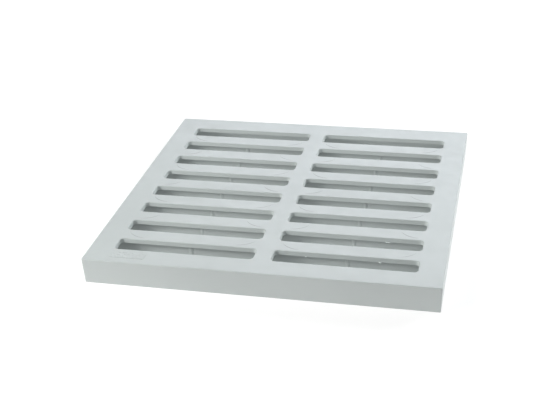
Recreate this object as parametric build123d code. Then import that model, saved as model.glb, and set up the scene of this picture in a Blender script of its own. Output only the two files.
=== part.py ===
from build123d import *
from math import radians, tan
import os

# A square slotted grate, moulded in one piece from light grey plastic: a flat deck with two columns of
# slots, a skirt round its edge, and a rib under the spine and under every bar. It has no fasteners, and
# nothing on it moves. Each node is one named region of the moulding; the regions meet face to face and
# don't overlap.
#
# Millimetres. The origin is the centre of the square at the bottom of the skirt. +Z is up, the front edge
# faces -Y, and rows of bars and slots count from the front.

# Outer shape
SIDE = 200.0
HEIGHT = 15.2
DECK_THICKNESS = 2.6
CORNER_RADIUS = 1.0
TOP_EDGE_RADIUS = 0.5
SKIRT_DRAFT = 2.8  # degrees: the skirt leans in towards its foot

# Cavity under the deck
RIM_THICKNESS = 2.2
CORE_DRAFT = 1.0  # degrees: the cavity narrows towards the deck

# Slots
ROWS = 8
SLOT_LENGTH = 80.7
SLOT_WIDTH = 11.7
SLOT_PITCH = 22.6
SLOT_CORNER_RADIUS = 2.5
SLOT_EDGE_RADIUS = 0.5
SLOT_DRAFT = 4.0  # degrees: each slot narrows downwards, to the bottom face of the deck
SPINE_WIDTH = 9.9
SLOTS_MIDDLE_Y = -0.8  # the front border is narrower than the rear one
BAR_CUT = 3.0  # each bar is cut from the deck this far inside the ends of its slots, past their corners

# Ribs, sized where they meet the deck
RIB_THICKNESS = 2.3
RIB_DEPTH = 10.0
RIB_DRAFT = 1.0  # degrees
RIB_TIP_RADIUS = 0.4
BOSS_DIAMETER = 3.4  # ejector boss, half way along each rib

# Blank raised tablet on the front border
TABLET_LENGTH = 20.0
TABLET_WIDTH = 6.5
TABLET_HEIGHT = 0.15
TABLET_CORNER_RADIUS = 1.2
TABLET_EDGE_RADIUS = 0.1
TABLET_X = -75.0
TABLET_Y = -92.0

# Worked out from the above
DECK_BOTTOM = HEIGHT - DECK_THICKNESS
RIM_SIDE = SIDE - 2 * (HEIGHT * tan(radians(SKIRT_DRAFT)) + RIM_THICKNESS)
COLUMN_X = (SPINE_WIDTH + SLOT_LENGTH) / 2
SLOTS_END_X = SPINE_WIDTH / 2 + SLOT_LENGTH
SLOTS_HALF_SPAN = (ROWS - 1) / 2 * SLOT_PITCH + SLOT_WIDTH / 2
SLOTS_FRONT_Y = SLOTS_MIDDLE_Y - SLOTS_HALF_SPAN
SLOTS_REAR_Y = SLOTS_MIDDLE_Y + SLOTS_HALF_SPAN
REACH = SIDE  # longer than any half of the part, for the boxes that cut it into regions

deck_top = Plane.XY.offset(HEIGHT)


def bar_y(row):
    """Centre line of the bar between slot rows `row` and `row` + 1."""
    return SLOTS_MIDDLE_Y + (row - ROWS / 2) * SLOT_PITCH


def inside(shape, x_range, y_range, z_range=(-REACH, REACH)):
    """The part of a shape inside a box, given by its range along each axis."""
    sizes = [high - low for low, high in (x_range, y_range, z_range)]
    middles = [(high + low) / 2 for low, high in (x_range, y_range, z_range)]
    return shape & Pos(*middles) * Box(*sizes)


def cavity():
    """The space under the deck, inside the skirt."""
    return extrude(Rectangle(RIM_SIDE, RIM_SIDE), DECK_BOTTOM, taper=CORE_DRAFT)


def shell():
    """Deck and skirt in one: a draughted block, hollowed from below, with its slots cut."""
    block = extrude(deck_top * RectangleRounded(SIDE, SIDE, CORNER_RADIUS), -HEIGHT, taper=SKIRT_DRAFT)
    block = fillet(block.faces().sort_by(Axis.Z)[-1].edges(), TOP_EDGE_RADIUS)
    outline = deck_top * RectangleRounded(SLOT_LENGTH, SLOT_WIDTH, SLOT_CORNER_RADIUS)
    slot = extrude(outline, -DECK_THICKNESS - 1, taper=SLOT_DRAFT)
    slot = Pos(0, SLOTS_MIDDLE_Y) * slot
    grid = GridLocations(2 * COLUMN_X, SLOT_PITCH, 2, ROWS)
    block = block - cavity() - [place * slot for place in grid]
    slot_rims = block.faces().sort_by(Axis.Z)[-1].inner_wires()
    return fillet([edge for rim in slot_rims for edge in rim.edges()], SLOT_EDGE_RADIUS)


def rib(length, x, y, along_y=False):
    """A rib hanging from the deck, longer than it needs to be and centred on x, y."""
    turn = Rot(0, 0, 90 if along_y else 0)
    blade = extrude(Rectangle(length, RIB_THICKNESS), -RIB_DEPTH, taper=RIB_DRAFT)
    tip_edges = blade.edges().filter_by(Axis.X).group_by(Axis.Z)[0]
    return Pos(x, y, DECK_BOTTOM) * turn * fillet(tip_edges, RIB_TIP_RADIUS)


def boss(x, y):
    """A round ejector boss, as deep as the rib that it stands in."""
    return extrude(Pos(x, y, DECK_BOTTOM) * Circle(BOSS_DIAMETER / 2), -RIB_DEPTH, taper=RIB_DRAFT)


def deck_regions(moulding):
    """Borders, spine and bars. The side borders and the spine keep the rounded corners of the slots."""
    deck = inside(moulding, (-REACH, REACH), (-REACH, REACH), (DECK_BOTTOM, REACH))
    bar_start = SPINE_WIDTH / 2 + BAR_CUT
    bar_end = SLOTS_END_X - BAR_CUT
    between = (SLOTS_FRONT_Y, SLOTS_REAR_Y)
    regions = {
        "border_front": inside(deck, (-REACH, REACH), (-REACH, SLOTS_FRONT_Y)),
        "border_rear": inside(deck, (-REACH, REACH), (SLOTS_REAR_Y, REACH)),
        "border_left": inside(deck, (-REACH, -bar_end), between),
        "border_right": inside(deck, (bar_end, REACH), between),
        "spine": inside(deck, (-bar_start, bar_start), between),
    }
    for row in range(1, ROWS):
        across = (bar_y(row) - SLOT_PITCH / 2, bar_y(row) + SLOT_PITCH / 2)
        regions[f"bar_left_{row}"] = inside(deck, (-bar_end, -bar_start), across)
        regions[f"bar_right_{row}"] = inside(deck, (bar_start, bar_end), across)
    return regions


def skirt_regions(moulding):
    """The four walls of the skirt, mitred at the corners."""
    skirt = inside(moulding, (-REACH, REACH), (-REACH, REACH), (-REACH, DECK_BOTTOM))
    quarter = extrude(make_face(Polyline((0, 0), (-REACH, -REACH), (REACH, -REACH), close=True)), HEIGHT)
    sides = ("front", "right", "rear", "left")
    return {f"skirt_{name}": skirt & Rot(0, 0, 90 * turn) * quarter for turn, name in enumerate(sides)}


def rib_regions():
    """One rib under the spine from skirt to skirt, and one under each bar from skirt to spine rib."""
    space = cavity()
    spine_rib = rib(SIDE, 0, 0, along_y=True) & space
    regions = {"spine_rib": spine_rib}
    for row in range(1, ROWS):
        for name, side in (("left", -1), ("right", 1)):
            blade = rib(SIDE, side * SIDE / 2, bar_y(row)) + boss(side * COLUMN_X, bar_y(row))
            blade = inside(blade, (0, REACH) if side > 0 else (-REACH, 0), (-REACH, REACH))
            regions[f"rib_{name}_{row}"] = (blade & space) - spine_rib
    return regions


def tablet():
    """A plain raised tablet with no marking."""
    outline = Pos(TABLET_X, TABLET_Y) * RectangleRounded(TABLET_LENGTH, TABLET_WIDTH, TABLET_CORNER_RADIUS)
    pad = extrude(deck_top * outline, TABLET_HEIGHT)
    return fillet(pad.faces().sort_by(Axis.Z)[-1].edges(), TABLET_EDGE_RADIUS)


def main():
    os.makedirs("parts", exist_ok=True)
    moulding = shell()
    nodes = deck_regions(moulding) | skirt_regions(moulding) | rib_regions()
    nodes["blank_tablet"] = tablet()
    for name, shape in nodes.items():
        export_step(shape, f"parts/{name}.step")
    print(f"{len(nodes)} nodes written")


main()
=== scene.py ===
import math
import random

import bmesh
import bpy
from mathutils import Matrix, Vector


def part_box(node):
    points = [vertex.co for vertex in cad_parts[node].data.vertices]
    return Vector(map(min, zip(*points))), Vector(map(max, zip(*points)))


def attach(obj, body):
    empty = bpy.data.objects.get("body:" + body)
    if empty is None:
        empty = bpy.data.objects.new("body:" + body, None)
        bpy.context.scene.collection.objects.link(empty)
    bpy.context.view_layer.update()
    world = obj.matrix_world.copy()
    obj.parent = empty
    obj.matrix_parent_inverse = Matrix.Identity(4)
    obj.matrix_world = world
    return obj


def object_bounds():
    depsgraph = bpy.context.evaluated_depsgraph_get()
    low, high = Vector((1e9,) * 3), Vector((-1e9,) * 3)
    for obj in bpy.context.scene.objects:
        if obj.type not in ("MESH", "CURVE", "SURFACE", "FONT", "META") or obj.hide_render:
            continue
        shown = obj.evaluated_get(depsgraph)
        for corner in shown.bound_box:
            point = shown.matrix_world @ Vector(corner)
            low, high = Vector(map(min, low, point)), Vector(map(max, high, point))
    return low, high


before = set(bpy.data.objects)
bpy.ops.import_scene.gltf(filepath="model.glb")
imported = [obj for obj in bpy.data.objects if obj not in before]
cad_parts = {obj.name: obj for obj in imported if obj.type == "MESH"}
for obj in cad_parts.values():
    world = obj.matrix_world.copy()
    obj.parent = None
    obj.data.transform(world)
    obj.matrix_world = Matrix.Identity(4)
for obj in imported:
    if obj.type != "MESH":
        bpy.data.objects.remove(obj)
cad_low, cad_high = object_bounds()

# The look of a slotted grate moulded in light grey plastic. Lengths are in metres.

MM = 0.001
ROWS = 8
COLUMNS = ("left", "right")
HALF_SIDE = cad_high.x
DECK_BOTTOM, DECK_TOP = (corner.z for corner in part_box("spine"))
BAR_CUT = 3.0 * MM  # each bar's node starts this far inside the ends of its slots
PLASTIC_COLOUR = (0.545, 0.585, 0.580)


def mesh_object(name, mesh, material):
    piece = bpy.data.objects.new(name, mesh)
    bpy.context.scene.collection.objects.link(piece)
    mesh.materials.append(material)
    return piece


def add_piece(name, build, material):
    """Turn a bmesh into a piece of the grate."""
    bmesh.ops.recalc_face_normals(build, faces=build.faces)
    mesh = bpy.data.meshes.new(name)
    build.to_mesh(mesh)
    build.free()
    piece = mesh_object(name, mesh, material)
    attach(piece, "root")


def skin(build, rings):
    """Join rings of the same number of points into a closed tube with flat ends."""
    for a, b in zip(rings, rings[1:]):
        for i in range(len(a)):
            j = (i + 1) % len(a)
            build.faces.new((a[i], a[j], b[j], b[i]))
    build.faces.new(rings[0])
    build.faces.new(rings[-1][::-1])


# Materials


def grey(level):
    return [level, level, level, 1]


class Nodes:
    """A short way to build a material's node tree."""

    def __init__(self, name):
        self.material = bpy.data.materials.new(name)
        self.material.use_nodes = True
        self.tree = self.material.node_tree
        self.shader = next(n for n in self.tree.nodes if n.type == "BSDF_PRINCIPLED")
        self.place = self.add("ShaderNodeTexCoord").outputs["Object"]
        self.x, self.y, self.z = self.add("ShaderNodeSeparateXYZ", {"Vector": self.place}).outputs

    def add(self, kind, inputs=None, **settings):
        node = self.tree.nodes.new(kind)
        for key, value in settings.items():
            setattr(node, key, value)
        self.fill(node, inputs or {})
        return node

    def fill(self, node, inputs):
        """Link each input of a node to a socket, or set it to a constant."""
        for key, value in inputs.items():
            if isinstance(value, bpy.types.NodeSocket):
                self.tree.links.new(value, node.inputs[key])
            else:
                node.inputs[key].default_value = value

    def noise(self, scale, detail=3.0, stretch=(1, 1, 1)):
        """Noise with `scale` features per metre, from 0 to 1."""
        mapped = self.add("ShaderNodeMapping", {"Vector": self.place, "Scale": stretch}).outputs[0]
        inputs = {"Vector": mapped, "Scale": scale, "Detail": detail, "Roughness": 0.5}
        return self.add("ShaderNodeTexNoise", inputs).outputs["Fac"]

    def remap(self, value, low, high, to_low, to_high):
        inputs = {"Value": value, "From Min": low, "From Max": high, "To Min": to_low, "To Max": to_high}
        return self.add("ShaderNodeMapRange", inputs).outputs["Result"]

    def maths(self, operation, *values):
        return self.add("ShaderNodeMath", dict(enumerate(values)), operation=operation).outputs[0]

    def product(self, first, *others):
        for other in others:
            first = self.maths("MULTIPLY", first, other)
        return first

    def from_middle(self):
        """Distance from the middle along X or along Y, whichever is more."""
        return self.maths("MAXIMUM", self.maths("ABSOLUTE", self.x), self.maths("ABSOLUTE", self.y))

    def mix(self, factor, a, b, blend="MIX"):
        inputs = {0: factor, 6: a, 7: b}
        return self.add("ShaderNodeMix", inputs, data_type="RGBA", blend_type=blend).outputs[2]

    def bump(self, height, strength, distance, normal=None):
        inputs = {"Height": height, "Strength": strength, "Distance": distance}
        if normal:
            inputs["Normal"] = normal
        return self.add("ShaderNodeBump", inputs).outputs[0]


def moulded_colour(n, tint):
    """Cloudy light grey with flow streaks along the bars."""
    base, deep, pale = ([c * tint * level for c in PLASTIC_COLOUR] + [1] for level in (1, 0.955, 1.035))
    cloud = n.remap(n.noise(14, 4), 0.3, 0.7, 0, 1)
    streak = n.remap(n.noise(60, 2, stretch=(0.25, 1, 1)), 0.3, 0.7, 0, 0.35)
    return n.mix(streak, n.mix(cloud, deep, pale), base)


def with_painted_shade(n, colour):
    """A colour with painted shade: darker on the skirt's outer faces, most of all near the deck, and on the
    ribs just under the deck.
    """
    outside = n.remap(n.from_middle(), HALF_SIDE - 1.2 * MM, HALF_SIDE - 1.1 * MM, 0, 1)
    below_top = n.remap(n.z, DECK_TOP - 0.5 * MM, DECK_TOP - 0.2 * MM, 1, 0)
    # painted shade on the skirt's outer faces, darkest near the deck
    wall_shade = n.product(outside, below_top, n.remap(n.z, 0, DECK_TOP, 0.45, 1))
    inside = n.maths("SUBTRACT", 1, outside)
    below_deck = n.remap(n.z, DECK_BOTTOM, DECK_BOTTOM + 0.1 * MM, 1, 0)
    # painted shade on the ribs just under the deck, fading out 5.5 mm below it
    root_shade = n.product(inside, below_deck, n.remap(n.z, DECK_BOTTOM - 5.5 * MM, DECK_BOTTOM, 0, 1))
    # the skirt's outer faces take the painted shade, down to 0.87
    colour = n.mix(wall_shade, colour, grey(0.87), "MULTIPLY")
    # the ribs under the deck take the painted shade, down to 0.70
    return n.mix(root_shade, colour, grey(0.70), "MULTIPLY")


def grey_pvc(name, tint=1.0, relief=0.0):
    """Light grey moulded PVC with a satin skin, with painted shade on the skirt's outer faces and on the ribs
    just under the deck. `relief` adds a coarse random grain of that height.
    """
    n = Nodes(name)
    normal = n.bump(n.noise(2600, 2), 0.12, 0.04 * MM)
    normal = n.bump(n.noise(90, 2), 0.25, 0.12 * MM, normal)
    if relief:
        normal = n.bump(n.remap(n.noise(600, 1), 0.4, 0.6, 0, 1), 1.0, relief, normal)
    roughness = n.remap(n.noise(220, 3), 0.3, 0.7, 0.38, 0.52)
    # painted shade on the skirt's outer faces and on the ribs just under the deck
    colour = with_painted_shade(n, moulded_colour(n, tint))
    n.fill(n.shader, {"Base Color": colour, "Roughness": roughness, "IOR": 1.5, "Normal": normal})
    return n.material


def floor_material():
    """A pale table with a glow of its own, which fills the shadows round the grate.

    Below the grate it is paler, and glows less.
    """
    n = Nodes("white_floor")
    away = n.from_middle()
    below_grate = n.remap(away, HALF_SIDE - 6 * MM, HALF_SIDE - 3 * MM, 1, 0)
    colour = n.mix(below_grate, n.mix(n.noise(3, 2), grey(0.34), grey(0.36)), grey(0.85))
    near = n.remap(away, HALF_SIDE - 3 * MM, HALF_SIDE, 0.32, 0.73)
    far = n.remap(away, 2 * HALF_SIDE, 5 * HALF_SIDE, 0, 0.3)
    glow = {"Emission Color": grey(1), "Emission Strength": n.maths("ADD", near, far)}
    n.fill(n.shader, {"Base Color": colour, "Roughness": 0.8} | glow)
    return n.material


# Stage, lights and camera


def make_floor():
    mesh = bpy.data.meshes.new("floor")
    half = 6.0
    corners = [(-half, -half, 0), (half, -half, 0), (half, half, 0), (-half, half, 0)]
    mesh.from_pydata(corners, [], [(0, 1, 2, 3)])
    mesh_object("floor", mesh, floor_material())


def area_light(name, place, size, power, colour=(1, 1, 1)):
    """A square soft light aimed at the middle of the grate. Its size is in metres, and its power in watts."""
    light = bpy.data.lights.new(name, "AREA")
    light.size = size
    light.energy = power
    light.color = colour
    lamp = bpy.data.objects.new(name, light)
    lamp.visible_camera = False
    lamp.location = place
    lamp.rotation_euler = (-Vector(place)).to_track_quat("-Z", "Y").to_euler()
    bpy.context.scene.collection.objects.link(lamp)


def make_lights():
    """Soft lights of slightly different colours: two large ones far behind, and small ones nearer by."""
    world = bpy.data.worlds.new("studio")
    world.use_nodes = True
    sky = world.node_tree.nodes["Background"]
    sky.inputs["Color"].default_value = (1, 1, 1, 1)
    sky.inputs["Strength"].default_value = 0.02
    bpy.context.scene.world = world
    cool, green, warm = (0.97, 1.0, 1.075), (0.96, 1.0, 1.0), (1.0, 1.0, 0.98)
    area_light("rear", (-0.2, 1.8, 0.8), 1.2, 14.4, cool)
    area_light("rear_right", (1.4, 1.2, 0.8), 0.8, 13.4, green)
    area_light("rear_near", (0.2, 0.7, 0.35), 0.4, 0.29, cool)
    area_light("right_rear", (0.5, 0.3, 0.2), 0.25, 1.2, green)
    area_light("right", (0.45, 0.05, 0.22), 0.3, 0.38)
    area_light("right_front", (0.35, -0.25, 0.35), 0.3, 0.3)
    area_light("left", (-0.7, -0.3, 0.6), 0.3, 3.2, warm)
    area_light("left_front", (-0.6, -0.45, 0.3), 0.4, 1.25, warm)
    area_light("left_near", (-0.35, -0.3, 0.25), 0.2, 0.97, warm)


def make_camera():
    """The lens, place and turn that put the grate's corners where the reference view has them."""
    camera = bpy.data.cameras.new("camera")
    camera.lens = 71.03
    view = bpy.data.objects.new("camera", camera)
    heading, tilt, roll = math.radians(13.987), math.radians(62.613), math.radians(-2.704)
    turn = Matrix.Rotation(heading, 4, "Z") @ Matrix.Rotation(tilt, 4, "X") @ Matrix.Rotation(roll, 4, "Z")
    view.matrix_world = Matrix.Translation((0.13042, -0.57713, 0.31519)) @ turn
    bpy.context.scene.collection.objects.link(view)
    bpy.context.scene.camera = view


# Marks left by the moulding


def weld_line(build, centre, way, half_width):
    """A hairline ridge on the deck along an arc, tapered at both ends. `way` is the X side it sweeps to."""
    radius, sweep, steps = 12.2 * MM, math.radians(58), 18
    height, buried = 0.03 * MM, Vector((0, 0, -0.02 * MM))
    rings = []
    for i in range(steps + 1):
        angle = sweep * i / steps
        taper = math.sin(math.pi * (i + 0.6) / (steps + 1.2)) ** 0.6
        outward = Vector((way * math.sin(angle), -math.cos(angle), 0))
        point = centre + outward * radius
        edge = outward * half_width * taper
        crest = Vector((0, 0, height * taper))
        section = (point + edge + buried, point + crest, point - edge + buried)
        rings.append([build.verts.new(corner) for corner in section])
    skin(build, rings)


def make_weld_lines(material):
    """Arcs where the melt met, near both ends of every bar, in a darker grey that is painted shade of the
    fine groove such a line leaves. They turn the other way on every second bar.
    """
    build = bmesh.new()
    dice = random.Random(3)
    centre_behind = 9.2 * MM  # each arc's centre is this far behind the middle of the bar
    outward_inset, inward_inset = 13.3 * MM, 3.3 * MM  # and this far inside the end of its slots
    for column in COLUMNS:
        for row in range(1, ROWS):
            low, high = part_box(f"bar_{column}_{row}")
            centre_y = (low.y + high.y) / 2 + centre_behind
            for bar_end, side in ((low.x, -1), (high.x, 1)):
                way, inset = (side, outward_inset) if row % 2 else (-side, inward_inset)
                centre = Vector((bar_end + side * (BAR_CUT - inset), centre_y, DECK_TOP))
                weld_line(build, centre, way, dice.uniform(0.26, 0.46) * MM)
    add_piece("weld_lines", build, material)


def make_flash(material):
    """Ragged scraps of flash on the bottom edge of two slots, each with its place along X and its width."""
    scraps = (("bar_right_1", 22.7, 1.2), ("bar_right_1", 64.0, 1.9), ("bar_right_2", 65.3, 2.8))
    dice = random.Random(7)
    build = bmesh.new()
    steps, thickness, overlap = 6, 0.18 * MM, 0.15 * MM
    for bar, x, width in scraps:
        edge_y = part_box(bar)[0].y
        rings = []
        for i in range(steps + 1):
            t = i / steps
            along = (x + (t - 0.5) * width) * MM
            reach = (0.15 + 0.95 * math.sin(math.pi * t) * dice.uniform(0.5, 1.0)) * MM
            sag = dice.uniform(0.0, 0.15) * MM
            back, tip = edge_y + overlap, edge_y - reach
            section = ((back, DECK_BOTTOM), (back, DECK_BOTTOM + thickness),
                       (tip, DECK_BOTTOM + thickness - sag), (tip, DECK_BOTTOM - sag))
            rings.append([build.verts.new((along, y, z)) for y, z in section])
        skin(build, rings)
    add_piece("flash", build, material)


def main():
    make_camera()
    make_lights()
    make_floor()
    plastic = grey_pvc("grey_pvc")
    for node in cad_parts.values():
        node.data.materials.clear()
        node.data.materials.append(plastic)
    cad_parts["blank_tablet"].data.materials[0] = grey_pvc("tablet_grey", relief=0.14 * MM)
    # the weld lines' darker grey is painted shade of the groove where the melt met
    make_weld_lines(grey_pvc("weld_groove_shade_grey", tint=0.62))
    make_flash(grey_pvc("flash_grey", tint=1.45))
    bpy.context.scene.view_settings.view_transform = "Standard"


main()
